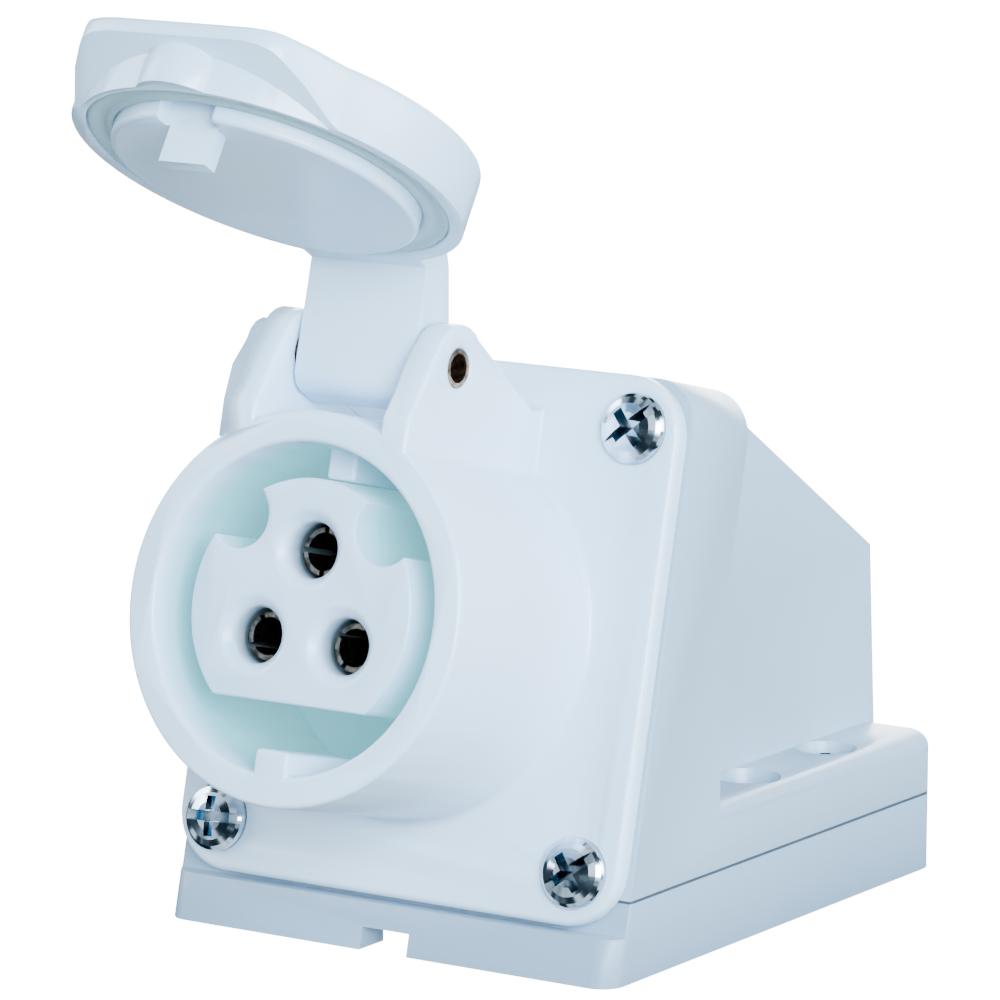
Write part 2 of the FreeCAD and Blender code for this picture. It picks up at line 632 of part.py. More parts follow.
def place_round(body, angle, ring, out="0"):
    """Seat a body on the panel at an angle round the collar's axis."""
    seat_on_panel(body, up=f"mid_up + {ring} * sin({angle})", out=out)
    body.setExpression("Placement.Base.x", dims(f"{ring} * cos({angle})"))


def make_contact(side, angle):
    body = start_body(f"contact_{side}")
    back = "(-panel_thick - carrier_flange)"
    tube = start_sketch(body, f"tube_{side}", "XY", back)
    add_circle(tube, "0", "0", "tube_rad")
    pad(body, tube, f"tube_top - {back}")
    band = start_sketch(body, f"band_{side}", "XY", f"{back} - 1")
    add_circle(band, "0", "0", "pin_hole - 0.03")
    pad(body, band, "band_high")
    lug = start_sketch(body, f"lug_{side}", "XY", f"{back} - 1 - lug_long")
    add_outline(lug, turned_box(angle, "-lug_wid / 2", "lug_wid / 2", "lug_wid / 2"))
    pad(body, lug, "lug_long")
    inside = start_sketch(body, f"inside_{side}", "XY", "tube_top + 1")
    add_circle(inside, "0", "0", "tube_bore")
    pocket(body, inside, "tube_deep + 1")
    slits = start_sketch(body, f"slits_{side}", "XY", "tube_top + 1")
    add_outline(slits, turned_box(angle, "-tube_rad - 1", "tube_rad + 1", "slit_wid / 2"))
    pocket(body, slits, "slit_deep + 1")
    cross = start_sketch(body, f"cross_slits_{side}", "XY", "tube_top + 1")
    add_outline(cross, turned_box(angle + 90, "-tube_rad - 1", "tube_rad + 1", "slit_wid / 2"))
    pocket(body, cross, "slit_deep + 1")
    wire = start_sketch(body, f"wire_{side}", "XY", f"{back} + 1 - lug_long")
    add_outline(wire, turned_box(angle, "-lug_wid / 2 + 1.5", "lug_wid / 2 + 1", "wire_hole"))
    pocket(body, wire, "wire_hole * 2", up=True)
    thread = start_sketch(body, f"thread_{side}", "XY", f"{back} - 1 - lug_long")
    add_circle(thread, "0", "0", "small_shank + 0.02")
    pocket(body, thread, "2.5", up=True)
    place_round(body, angle, "pin_ring")
    return body


def make_all_screws():
    """Every screw, each drawn round its own axis with its seat at zero."""
    made = []
    for number, (x, y) in enumerate(panel_spots, start=1):
        screw = make_screw(f"panel_screw_{number}", "head_rad", "panel_shank", screw_turns[number - 1])
        seat_on_panel(screw, up=y)
        screw.setExpression("Placement.Base.x", dims(x))
        made.append(screw)
    for number, (x, y) in enumerate(cover_spots, start=1):
        screw = make_screw(f"cover_screw_{number}", "cover_head", "shank_long", 20 * number)
        seat = "ledge_high - cover_sink" if number < 3 else "head_floor"
        screw.setExpression("Placement.Base.x", dims(x))
        screw.setExpression("Placement.Base.y", dims(y))
        screw.setExpression("Placement.Base.z", dims(seat))
        made.append(screw)
    return made


def make_screw(name, head, long, turn):
    """Domed screw with a slot and a deeper cross recess."""
    body = start_body(name)
    side = start_sketch(body, f"{name}_side", "XZ")
    add_outline(side, [
        ("0", f"-({long})"), ("shank_rad - 0.8", f"-({long})"), ("shank_rad", f"-({long}) + 1.2"),
        ("shank_rad", "0"), (head, "0"), (head, "head_high * 0.25"),
        (f"{head} * 0.96", "head_high * 0.45"), (f"{head} * 0.86", "head_high * 0.66"),
        (f"{head} * 0.68", "head_high * 0.85"), (f"{head} * 0.42", "head_high * 0.97"),
        ("0", "head_high"),
    ])
    revolve(body, side)
    slot = start_sketch(body, f"{name}_slot", "XY", "head_high")
    add_outline(slot, turned_box(turn, f"-{head} - 1", f"{head} + 1", "recess_wid / 2"))
    pocket(body, slot, "recess_deep * 0.5")
    for arm in (turn, turn + 90):
        cross = start_sketch(body, f"{name}_cross_{arm}", "XY", "head_high")
        add_outline(cross, turned_box(arm, f"-{head} * 0.58", f"{head} * 0.58", "recess_wid / 2"))
        pocket(body, cross, "recess_deep")
    return body


def make_small_screw(name, angle, ring, out, long):
    """Slotted screw that is driven from behind, its head on the far side of its seat."""
    body = start_body(name)
    side = start_sketch(body, f"{name}_side", "XZ")
    add_outline(side, [
        ("0", f"-({long})"), ("small_shank", f"-({long})"), ("small_shank", "0"),
        ("small_head", "0"), ("small_head", "small_head * 0.7"), ("0", "small_head * 0.7"),
    ])
    revolve(body, side)
    slot = start_sketch(body, f"{name}_slot", "XY", "small_head * 0.7")
    add_outline(slot, box_corners("-small_head - 1", "small_head + 1", "-0.3", "0.3"))
    pocket(body, slot, "0.7")
    place_round(body, angle, ring, out)
    body.setExpression("Placement.Rotation.Angle", dims("270 - lean"))
    return body


# Lid, its origin on the axis of its rim and in the rim's plane, drawn as it closes

def seat_on_lid(body):
    """Turn a body from the closed lid's place to the open one."""
    turn = "(90 - lean - lid_angle)"
    drop = "(hinge_out - collar_high - lid_gap)"
    body.Placement = Placement(Vector(0, 0, 0), Rotation(Vector(1, 0, 0), value("90 - lean")))
    body.setExpression("Placement.Rotation.Angle", dims(turn))
    body.setExpression("Placement.Base.y", dims(
        f"{hinge_y} - (hinge_up * cos{turn} - {drop} * sin{turn})"))
    body.setExpression("Placement.Base.z", dims(
        f"{hinge_z} - (hinge_up * sin{turn} + {drop} * cos{turn})"))


hinge_y = "(foot_y + (mid_up + hinge_up) * sin(lean) - hinge_out * cos(lean))"
hinge_z = "(panel_foot + (mid_up + hinge_up) * cos(lean) + hinge_out * sin(lean))"


def make_lid():
    body = start_body("lid")
    drop = "(hinge_out - collar_high - lid_gap)"
    disc = start_sketch(body, "lid_disc")
    add_circle(disc, "0", "0", "lid_rad")
    pad(body, disc, "lid_high")
    # lip that runs off the round on both sides, with a finger scoop under it
    lip = start_sketch(body, "lid_lip")
    half = [("lid_rad * 0.76", "-lid_rad * 0.645"), ("lip_side + 2", "-lip_out + 5.3"),
            ("lip_side", "-lip_out + 2.3"), ("lip_side - 1.1", "-lip_out + 1.1"),
            ("lip_side - 2.8", "-lip_out + 0.4"), ("lip_side - 5.4", "-lip_out")]
    add_outline(lip, [("-lid_rad / 2", "-lid_rad / 2")] + [(f"-({x})", y) for x, y in half]
                + half[::-1] + [("lid_rad / 2", "-lid_rad / 2")])
    pad(body, lip, "lid_high")
    soften(body, "lid_soft", lambda mid, ends, e: near(mid.z, value("lid_high")))
    scoop = start_sketch(body, "finger_scoop", "YZ")
    add_outline(scoop, [("-scoop_start", "-1"), ("-scoop_start", "0"), ("-lip_out - 0.3", "lip_edge"),
                        ("-lip_out - 3", "lip_edge"), ("-lip_out - 3", "-1")])
    pocket(body, scoop, "lid_rad * 2", symmetric=True)
    inner = start_sketch(body, "skirt_behind_scoop")
    add_circle(inner, "0", "0", "scoop_rad")
    pad(body, inner, "lid_high - lid_soft")
    bulge = start_sketch(body, "skirt_bulge", "XZ", "bulge_out")
    add_outline(bulge, [
        ("0", "0"), ("bulge_rad", "0"), ("bulge_rad", "bulge_high * 0.5"),
        ("bulge_rad * 0.95", "bulge_high * 0.7"), ("bulge_rad * 0.82", "bulge_high * 0.84"),
        ("bulge_rad * 0.62", "bulge_high * 0.94"), ("bulge_rad * 0.35", "bulge_high"),
        ("0", "bulge_high"),
    ])
    revolve(body, bulge)
    arm = start_sketch(body, "hinge_arm", "YZ")
    add_outline(arm, [
        ("lid_rad - 3.4", "0"), ("lid_rad - 3.4", "lid_high"), ("lid_rad + 0.7", "lid_high - 1.2"),
        ("hinge_up - 2.2", "lid_high - 6.2"), ("hinge_up + barrel_rad * 0.85", f"{drop} + 1.6"),
        ("hinge_up + barrel_rad * 1.1", f"{drop} - 1.6"), ("hinge_up + barrel_rad", f"{drop} - barrel_rad"),
        ("hinge_up - barrel_rad * 0.38", f"{drop} - barrel_rad"), ("lid_rad + 0.6", "0"),
    ])
    pad(body, arm, "arm_wid", symmetric=True)
    low = value(f"{drop} - barrel_rad")
    soften(body, "barrel_rad * 0.6", lambda mid, ends, e: along(ends, 0) and near(mid.z, low))
    groove = start_sketch(body, "seal_groove", "XY", "-1")
    add_circle(groove, "0", "0", "lid_rad - skirt_wall")
    add_circle(groove, "0", "0", "plateau_rad")
    pocket(body, groove, "groove_deep + 1", up=True)
    plateau = start_sketch(body, "lid_plateau", "XY", "-plateau_drop")
    add_circle(plateau, "0", "0", "plateau_rad")
    pad(body, plateau, "plateau_drop + 1")
    soften(body, "lid_soft * 0.6", lambda mid, ends, e: is_circle(e, "-plateau_drop", "plateau_rad"))
    notch = start_sketch(body, "nose_gap", "XY", "-plateau_drop - 1")
    add_outline(notch, box_corners("-nose_notch / 2", "nose_notch / 2", "-plateau_rad - 0.6", "-nose_out"))
    pocket(body, notch, "plateau_drop + 2.6", up=True)
    nose = start_sketch(body, "nose", "XY", "-nose_end")
    add_outline(nose, box_corners("-nose_wid / 2", "nose_wid / 2", "-nose_out", "nose_thick - nose_out"))
    pad(body, nose, "nose_end + 1")
    dish = start_sketch(body, "outer_dish", "XY", "lid_high")
    add_circle(dish, "0", "0", "dish_rad")
    pocket(body, dish, "dish_deep_out")
    hole = start_sketch(body, "lid_hinge_hole", "YZ", "20")
    add_circle(hole, "hinge_up", drop, "pin_rad + pin_play")
    pocket(body, hole, "40")
    room = start_sketch(body, "spring_room_round", "YZ")
    add_circle(room, "hinge_up", drop, "pin_rad + spring_wire + 0.1")
    spring_room = "spring_pitch * spring_turns + spring_wire + 2 * spring_play"
    pocket(body, room, spring_room, symmetric=True)
    door = start_sketch(body, "spring_room_door", "YZ")
    add_outline(door, [
        ("hinge_up", f"{drop} - 2"), ("hinge_up + 9", f"{drop} - 2"),
        ("hinge_up + 9", f"{drop} + 2"), ("hinge_up", f"{drop} + 2"),
    ])
    pocket(body, door, spring_room, symmetric=True)
    seat_on_lid(body)
    return body


def make_lid_seal():
    body = start_body("lid_seal")
    ring = start_sketch(body, "lid_seal_ring", "XY", "seal_face")
    add_circle(ring, "0", "0", "lid_rad - skirt_wall - seal_play")
    add_circle(ring, "0", "0", "plateau_rad + seal_play")
    pad(body, ring, "groove_deep - seal_face")
    seat_on_lid(body)
    return body


def make_hinge_pin():
    body = start_body("hinge_pin")
    start = "-(ear_in + ear_thick - pin_recess)"
    rod = start_sketch(body, "pin_round", "YZ", start)
    add_circle(rod, "mid_up + hinge_up", "hinge_out", "pin_rad")
    add_circle(rod, "mid_up + hinge_up", "hinge_out", "pin_bore")
    pad(body, rod, "(ear_in + ear_thick - pin_recess) * 2")
    seat_on_panel(body)
    return body


def make_lid_spring():
    """Coil round the hinge pin, in the middle of the lid's arm."""
    body = start_body("lid_spring")
    wire = start_sketch(body, "spring_wire_round", "XZ")
    add_circle(wire, "pin_rad + spring_wire / 2 + 0.05", "0", "spring_wire / 2 - 0.02")
    doc.recompute()
    coil = body.newObject("PartDesign::AdditiveHelix", "spring_coil")
    coil.Profile = wire
    coil.ReferenceAxis = (wire, ["V_Axis"])
    coil.Mode = "pitch-turns-angle"
    coil.setExpression("Pitch", dims("spring_pitch"))
    coil.setExpression("Turns", dims("spring_turns"))
    coil.LeftHanded = False
    wire.Visibility = False
    body.Placement = Placement(Vector(0, 0, 0), Rotation(Vector(0, 1, 0), 90))
    body.setExpression("Placement.Base.x", dims("-spring_pitch * spring_turns / 2"))
    body.setExpression("Placement.Base.y", dims(hinge_y))
    body.setExpression("Placement.Base.z", dims(hinge_z))
    return body


# Cable grommet in the back wall, its own Z pointing out of the wall

def make_grommet():
    body = start_body("cable_grommet")
    side = start_sketch(body, "grommet_side", "XZ")
    hub = "inlet_rad - 2.6"
    add_outline(side, [
        ("0", "-1.7"), (hub, "-1.7"), (hub, "-shell_wall - 1.4"),
        ("inlet_rad + 1", "-shell_wall - 1.4"), ("inlet_rad + 1", "-shell_wall"),
        ("inlet_rad - 0.03", "-shell_wall"), ("inlet_rad - 0.03", "0"), ("inlet_rad + 1.8", "0"),
        ("inlet_rad + 1.4", "1.3"), (hub, "1.3"), (f"{hub} - 0.6", "membrane - 1.7"),
        ("0", "membrane - 1.7"),
    ])
    revolve(body, side)
    body.Placement = Placement(Vector(0, 0, 0), Rotation(Vector(1, 0, 0), -90))
    body.setExpression("Placement.Base.y", dims("half_len"))
    body.setExpression("Placement.Base.z", dims("inlet_high"))
    return body


def main():
    made = [make_base_plate(), make_base_seal(), make_housing(), make_panel_seal(), make_shell(),
            make_carrier()]
    made += [make_contact(side, angle) for side, angle in contact_angles.items()]
    made += make_all_screws()
    lug_end = "-(panel_thick + carrier_flange + 1 + lug_long)"
    for side, angle in contact_angles.items():
        made.append(make_small_screw(f"terminal_screw_{side}", angle, "pin_ring", lug_end, "4.6"))
    for number, angle in enumerate(carrier_angles, start=1):
        made.append(make_small_screw(f"carrier_screw_{number}", angle, "carrier_ring",
                                     "-(panel_thick + carrier_flange)", "small_long"))
    made += [make_lid(), make_lid_seal(), make_hinge_pin(), make_lid_spring(), make_grommet()]
    doc.recompute()
    failed = [thing.Name for thing in doc.Objects if {"Invalid", "Error"} & set(thing.State)]
    failed += [body.Label for body in made if body.Shape.isNull() or not body.Shape.isValid()]
    if failed:
        raise RuntimeError(f"these did not build: {failed}")
    os.makedirs("parts", exist_ok=True)
    for body in made:
        print(body.Label, len(body.Shape.Solids), "solid,", round(body.Shape.Volume), "cubic mm")
        body.Shape.exportStep(f"parts/{body.Label}.step")


main()
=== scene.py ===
import json
import math
import bmesh
import bpy
import numpy as np
from mathutils import Matrix, Vector


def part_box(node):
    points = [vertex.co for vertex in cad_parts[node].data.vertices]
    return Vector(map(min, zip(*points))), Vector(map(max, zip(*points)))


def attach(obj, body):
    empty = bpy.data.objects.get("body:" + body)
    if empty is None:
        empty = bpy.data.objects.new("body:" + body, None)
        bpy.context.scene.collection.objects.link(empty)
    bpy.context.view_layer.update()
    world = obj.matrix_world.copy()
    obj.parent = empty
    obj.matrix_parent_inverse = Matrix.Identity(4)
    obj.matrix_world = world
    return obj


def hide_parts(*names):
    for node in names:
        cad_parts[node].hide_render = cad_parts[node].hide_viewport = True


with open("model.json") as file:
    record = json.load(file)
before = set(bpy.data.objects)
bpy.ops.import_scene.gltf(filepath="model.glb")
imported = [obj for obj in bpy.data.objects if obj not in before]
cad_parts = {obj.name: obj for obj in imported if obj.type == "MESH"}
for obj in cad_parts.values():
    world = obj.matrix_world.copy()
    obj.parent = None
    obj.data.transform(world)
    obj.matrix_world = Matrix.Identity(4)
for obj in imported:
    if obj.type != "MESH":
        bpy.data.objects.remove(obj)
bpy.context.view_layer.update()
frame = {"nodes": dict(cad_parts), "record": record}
nodes = frame["nodes"]
record = frame["record"]
bodyOf = {}
for bodyName, members in record["behaviour"]["bodies"].items():
    for member in members:
        bodyOf[member] = bodyName
slotOf = {entry["node"]: entry["material_slot"] for entry in record["subparts"]}
mountOf = {mount["name"]: mount for mount in record["mounts"]}
print("frame loaded,", len(nodes), "nodes")

# Places worked out from the frame: the collar's axis and the open lid
contactNames = ("contact_top", "contact_left", "contact_right")
collarAxis = Vector(mountOf["contact_top"]["axis"]).normalized()
contactMouths = [Vector(mountOf[name]["pos_m"]) for name in contactNames]
collarCentre = sum(contactMouths, Vector()) / len(contactMouths)  # level with the contacts' mouths
lidHinge = record["behaviour"]["joints"][0]
openAngle = math.radians(max(lidHinge["range_deg"]))

# Camera: where the photograph was taken from, in metres and degrees
cameraSetup = {
    "place": (0.4583, -0.7142, 0.2085),
    "azimuth": 33.232,
    "elevation": 10.294,
    "roll": 0.277,
    "focalLength": 228.8,
    "sensorWidth": 36.0,
    "nearest": 0.01,
    "farthest": 30.0,
}


def placeCamera(setup):
    # the camera's axes follow from azimuth and elevation, then turn by the roll
    az = math.radians(setup["azimuth"])
    el = math.radians(setup["elevation"])
    turn = math.radians(setup["roll"])
    back = Vector((math.sin(az) * math.cos(el), -math.cos(az) * math.cos(el), math.sin(el)))
    flatRight = Vector((math.cos(az), math.sin(az), 0))
    flatUp = back.cross(flatRight)
    right = flatRight * math.cos(turn) + flatUp * math.sin(turn)
    up = back.cross(right)
    lens = bpy.data.cameras.new("camera")
    lens.lens = setup["focalLength"]
    lens.sensor_width = setup["sensorWidth"]
    lens.clip_start = setup["nearest"]
    lens.clip_end = setup["farthest"]
    camera = bpy.data.objects.new("camera", lens)
    turned = Matrix((right, up, back)).transposed().to_4x4()
    camera.matrix_world = Matrix.Translation(Vector(setup["place"])) @ turned
    bpy.context.scene.collection.objects.link(camera)
    bpy.context.scene.camera = camera


placeCamera(cameraSetup)

# Light and floor: a white table and sky, soft boxes, and a room that only gloss mirrors
studio = {
    "whiteSky": 22.0,
    "fillColor": (0.70, 0.86, 1.0),
    "fillStrength": 0.74,
    "roomDark": (0.012, 0.03, 0.045),
    "roomLight": (1.1, 1.4, 1.6),
    "roomScale": 1.9,
    "roomDetail": 1.0,
    "roomEdges": (0.48, 0.53),
    "floorSize": 12.0,
    "floorColor": (0.9, 0.92, 0.94),
    "floorRoughness": 0.9,
    "floorGlow": 18.0,
    "target": (0.0, 0.0, 0.05),  # where every lamp points
    "lamps": {
        "key": {"place": (1.0, -0.95, 0.5), "size": 0.7, "power": 72.0, "color": (0.68, 0.85, 1.0)},
        "side": {"place": (1.3, 0.1, 0.5), "size": 0.8, "power": 30.0, "color": (0.72, 0.87, 1.0)},
        "left": {"place": (-1.2, -0.5, 0.6), "size": 0.8, "power": 22.0, "color": (0.74, 0.88, 1.0)},
        "back": {"place": (-0.5, 1.35, 0.45), "size": 0.9, "power": 42.0, "color": (0.84, 0.93, 1.0)},
    },
}


def addLamp(name, lampSetup, target):
    lamp = bpy.data.lights.new(name, "AREA")
    lamp.energy = lampSetup["power"]
    lamp.size = lampSetup["size"]
    lamp.color = lampSetup["color"]
    holder = bpy.data.objects.new(name, lamp)
    place = Vector(lampSetup["place"])
    holder.location = place
    holder.rotation_euler = (Vector(target) - place).to_track_quat("-Z", "Y").to_euler()
    bpy.context.scene.collection.objects.link(holder)


def addSky(setup):
    # white behind the object, an even fill on it, and a dark room with windows in its gloss
    world = bpy.data.worlds.new("sky")
    bpy.context.scene.world = world
    world.use_nodes = True
    tree = world.node_tree
    link = tree.links.new
    fill = tree.nodes["Background"]
    fill.inputs["Color"].default_value = (*setup["fillColor"], 1)
    fill.inputs["Strength"].default_value = setup["fillStrength"]
    way = tree.nodes.new("ShaderNodeTexCoord")
    windows = tree.nodes.new("ShaderNodeTexNoise")
    windows.inputs["Scale"].default_value = setup["roomScale"]
    windows.inputs["Detail"].default_value = setup["roomDetail"]
    link(way.outputs["Generated"], windows.inputs["Vector"])
    edges = tree.nodes.new("ShaderNodeValToRGB")
    shades = (setup["roomDark"], setup["roomLight"])
    for element, position, shade in zip(edges.color_ramp.elements, setup["roomEdges"], shades):
        element.position = position
        element.color = (*shade, 1)
    link(windows.outputs["Fac"], edges.inputs["Fac"])
    room = tree.nodes.new("ShaderNodeBackground")
    link(edges.outputs["Color"], room.inputs["Color"])
    white = tree.nodes.new("ShaderNodeBackground")
    white.inputs["Strength"].default_value = setup["whiteSky"]
    path = tree.nodes.new("ShaderNodeLightPath")
    gloss = tree.nodes.new("ShaderNodeMixShader")
    link(path.outputs["Is Glossy Ray"], gloss.inputs["Fac"])
    link(fill.outputs["Background"], gloss.inputs[1])
    link(room.outputs["Background"], gloss.inputs[2])
    seen = tree.nodes.new("ShaderNodeMixShader")
    link(path.outputs["Is Camera Ray"], seen.inputs["Fac"])
    link(gloss.outputs["Shader"], seen.inputs[1])
    link(white.outputs["Background"], seen.inputs[2])
    link(seen.outputs["Shader"], tree.nodes["World Output"].inputs["Surface"])


def addFloor(setup):
    half = setup["floorSize"] / 2
    mesh = bpy.data.meshes.new("floor")
    corners = [(-half, -half, 0), (half, -half, 0), (half, half, 0), (-half, half, 0)]
    mesh.from_pydata(corners, [], [(0, 1, 2, 3)])
    floor = bpy.data.objects.new("floor", mesh)
    bpy.context.scene.collection.objects.link(floor)
    paint = bpy.data.materials.new("floorPaint")
    paint.use_nodes = True
    shader = paint.node_tree.nodes["Principled BSDF"]
    shader.inputs["Base Color"].default_value = (*setup["floorColor"], 1)
    shader.inputs["Roughness"].default_value = setup["floorRoughness"]
    shader.inputs["Specular IOR Level"].default_value = 0.0
    shader.inputs["Emission Color"].default_value = (1, 1, 1, 1)
    shader.inputs["Emission Strength"].default_value = setup["floorGlow"]
    mesh.materials.append(paint)
    floor.visible_diffuse = False
    floor.visible_glossy = False


addSky(studio)
addFloor(studio)
for lampName, lampSetup in studio["lamps"].items():
    addLamp(lampName, lampSetup, studio["target"])
print("camera, light and floor are in place")

# Materials: helpers that add nodes


def addNode(tree, kind, **values):
    # a node with fixed amounts at its named inputs
    node = tree.nodes.new(kind)
    for name, amount in values.items():
        node.inputs[name].default_value = amount
    return node


def addMath(tree, kind, operation, *sources):
    # a maths node, each of its inputs a socket to follow or a fixed amount
    node = tree.nodes.new(kind)
    node.operation = operation
    for index, source in enumerate(sources):
        if isinstance(source, bpy.types.NodeSocket):
            tree.links.new(source, node.inputs[index])
        else:
            node.inputs[index].default_value = source
    return node.outputs


def newMaterial(name):
    material = bpy.data.materials.new(name)
    material.use_nodes = True
    tree = material.node_tree
    return material, tree, tree.nodes["Principled BSDF"]


def addRamp(tree, source, stops):
    # colour ramp from a socket, its stops given as position: colour
    ramp = tree.nodes.new("ShaderNodeValToRGB")
    elements = ramp.color_ramp.elements
    places = sorted(stops)
    for index, place in enumerate(places):
        if index < 2:
            element = elements[index]
            element.position = place
        else:
            element = elements.new(place)
        element.color = (*stops[place], 1)
    tree.links.new(source, ramp.inputs["Fac"])
    return ramp


# Painted shade and painted glow inside the collar: a teal colour and an emission that stand in for light
# coming through the wall, in metres from the contacts' mouths
collarGlowShade = {
    "mouth": 0.0048,  # where the painted shade and glow start, out along the collar's axis
    "floor": -0.001,  # where it is full
    "outer": 0.0218,
    "color": (0.20, 0.47, 0.51),
    "glow": 0.7,
}
# The holes of the contacts darken as they go in
holeShade = {
    "mouth": 0.0032,
    "floor": 0.0,
    "outer": 0.0115,
    "color": (0.045, 0.06, 0.065),
}
# Shadow in the seam between base plate and housing, as high as the top of their seal
seamShade = {
    "height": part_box("base_seal")[1][2],
    "half": 0.0002,
    "color": (0.05, 0.065, 0.08),
}


def seamFactor(tree, place):
    # 1 in the seam and 0 elsewhere
    parts = tree.nodes.new("ShaderNodeSeparateXYZ")
    tree.links.new(place, parts.inputs["Vector"])
    height, half = seamShade["height"], seamShade["half"]
    return addMath(tree, "ShaderNodeMath", "COMPARE", parts.outputs["Z"], height, half)["Value"]


def collarDepth(tree, place, innerReach):
    # how far in a point lies, nought to one: between insert and collar, and inside the contact holes
    vector, number = "ShaderNodeVectorMath", "ShaderNodeMath"
    offset = addMath(tree, vector, "SUBTRACT", place, collarCentre)["Vector"]
    depth = addMath(tree, vector, "DOT_PRODUCT", offset, collarAxis)["Value"]
    along = addMath(tree, vector, "MULTIPLY", collarAxis, depth)["Vector"]
    across = addMath(tree, vector, "SUBTRACT", offset, along)["Vector"]
    reach = addMath(tree, vector, "LENGTH", across)["Value"]
    within = addMath(tree, number, "LESS_THAN", reach, collarGlowShade["outer"])["Value"]
    beyond = addMath(tree, number, "GREATER_THAN", reach, innerReach)["Value"]
    ring = addMath(tree, number, "MULTIPLY", within, beyond)["Value"]
    central = addMath(tree, number, "LESS_THAN", reach, holeShade["outer"])["Value"]
    factors = []
    for region, limits in ((ring, collarGlowShade), (central, holeShade)):
        sunk = tree.nodes.new("ShaderNodeMapRange")
        sunk.inputs["From Min"].default_value = limits["mouth"]
        sunk.inputs["From Max"].default_value = limits["floor"]
        tree.links.new(depth, sunk.inputs["Value"])
        factors.append(addMath(tree, number, "MULTIPLY", region, sunk.outputs["Result"])["Value"])
    return factors


def mixColors(tree, factor, first, second):
    # colour between two sockets, or fixed colours, by a factor
    mix = tree.nodes.new("ShaderNodeMix")
    mix.data_type = "RGBA"
    tree.links.new(factor, mix.inputs[0])
    for socket, source in ((mix.inputs[6], first), (mix.inputs[7], second)):
        if isinstance(source, tuple):
            socket.default_value = (*source, 1)
        else:
            tree.links.new(source, socket)
    return mix.outputs[2]


def addGloss(tree, shader, source, roughness, spread):
    # roughness that follows a pattern, between two shares of its own value
    gloss = tree.nodes.new("ShaderNodeMapRange")
    gloss.inputs["To Min"].default_value = roughness * spread[0]
    gloss.inputs["To Max"].default_value = roughness * spread[1]
    tree.links.new(source, gloss.inputs["Value"])
    tree.links.new(gloss.outputs["Result"], shader.inputs["Roughness"])


def addBump(tree, shader, source, strength, depth):
    bump = addNode(tree, "ShaderNodeBump", Strength=strength, Distance=depth)
    tree.links.new(source, bump.inputs["Height"])
    tree.links.new(bump.outputs["Normal"], shader.inputs["Normal"])


# What every moulded plastic and rubber shares
plasticSetup = {
    "drift": {"Scale": 22.0, "Detail": 3.0, "Roughness": 0.5},
    "driftEdges": (0.35, 0.65),
    "shade": 0.96,
    "grain": {"Scale": 2600.0, "Detail": 2.0, "Roughness": 0.6},
    "grainDepth": 0.0002,
    "glossSpread": (0.85, 1.2),
    "refraction": 1.5,
    "glow": 0.04,
    "glowRadius": (0.0016, 0.0018, 0.002),
    "glowScale": 0.5,
}


def mouldedPlastic(name, color, roughness=0.3, grain=0.05, glowShadeFrom=None, seam=False):
    # a faint slow drift of colour, and a fine grain in the gloss
    setup = plasticSetup
    material, tree, shader = newMaterial(name)
    link = tree.links.new
    place = tree.nodes.new("ShaderNodeTexCoord").outputs["Object"]
    drift = addNode(tree, "ShaderNodeTexNoise", **setup["drift"])
    link(place, drift.inputs["Vector"])
    low, high = setup["driftEdges"]
    stops = {low: [part * setup["shade"] for part in color], high: color}
    surface = addRamp(tree, drift.outputs["Fac"], stops).outputs["Color"]
    # painted shade in the contact holes, then a teal painted shade and a painted glow inside the collar
    if glowShadeFrom:
        depth, holeDepth = collarDepth(tree, place, glowShadeFrom)
        surface = mixColors(tree, holeDepth, surface, holeShade["color"])
        surface = mixColors(tree, depth, surface, collarGlowShade["color"])
        paintedGlow = mixColors(tree, depth, (0.0, 0.0, 0.0), collarGlowShade["color"])
        link(paintedGlow, shader.inputs["Emission Color"])
        shader.inputs["Emission Strength"].default_value = collarGlowShade["glow"]
    if seam:
        surface = mixColors(tree, seamFactor(tree, place), surface, seamShade["color"])
    link(surface, shader.inputs["Base Color"])
    fine = addNode(tree, "ShaderNodeTexNoise", **setup["grain"])
    link(place, fine.inputs["Vector"])
    addBump(tree, shader, fine.outputs["Fac"], grain, setup["grainDepth"])
    addGloss(tree, shader, drift.outputs["Fac"], roughness, setup["glossSpread"])
    shader.inputs["IOR"].default_value = setup["refraction"]
    shader.inputs["Subsurface Weight"].default_value = setup["glow"]
    shader.inputs["Subsurface Radius"].default_value = setup["glowRadius"]
    shader.inputs["Subsurface Scale"].default_value = setup["glowScale"]
    return material


# What every metal shares
metalSetup = {
    "patchRoughness": 0.5,
    "bump": 0.05,
    "bumpDepth": 0.0002,
    "glossSpread": (0.7, 1.4),
    "shelterSamples": 8,
}


def metal(name, stops, roughness=0.28, patchScale=900.0, detail=4.0, recessShade=None):
    # metal whose colour changes over patches, with painted shade in its recesses, and a slight
    # unevenness
    setup = metalSetup
    material, tree, shader = newMaterial(name)
    link = tree.links.new
    place = tree.nodes.new("ShaderNodeTexCoord").outputs["Object"]
    patches = addNode(tree, "ShaderNodeTexNoise", Scale=patchScale, Detail=detail,
                      Roughness=setup["patchRoughness"])
    link(place, patches.inputs["Vector"])
    surface = addRamp(tree, patches.outputs["Fac"], stops).outputs["Color"]
    # painted shade: the colour darkens where the surface is sheltered
    if recessShade:
        shelter = tree.nodes.new("ShaderNodeAmbientOcclusion")
        shelter.samples = setup["shelterSamples"]
        shelter.inputs["Distance"].default_value = recessShade["reach"]
        openStops = {recessShade["from"]: (0, 0, 0), recessShade["to"]: (1, 1, 1)}
        openness = addRamp(tree, shelter.outputs["AO"], openStops).outputs["Color"]
        surface = mixColors(tree, openness, recessShade["color"], surface)
    link(surface, shader.inputs["Base Color"])
    addGloss(tree, shader, patches.outputs["Fac"], roughness, setup["glossSpread"])
    addBump(tree, shader, patches.outputs["Fac"], setup["bump"], setup["bumpDepth"])
    shader.inputs["Metallic"].default_value = 1.0
    return material
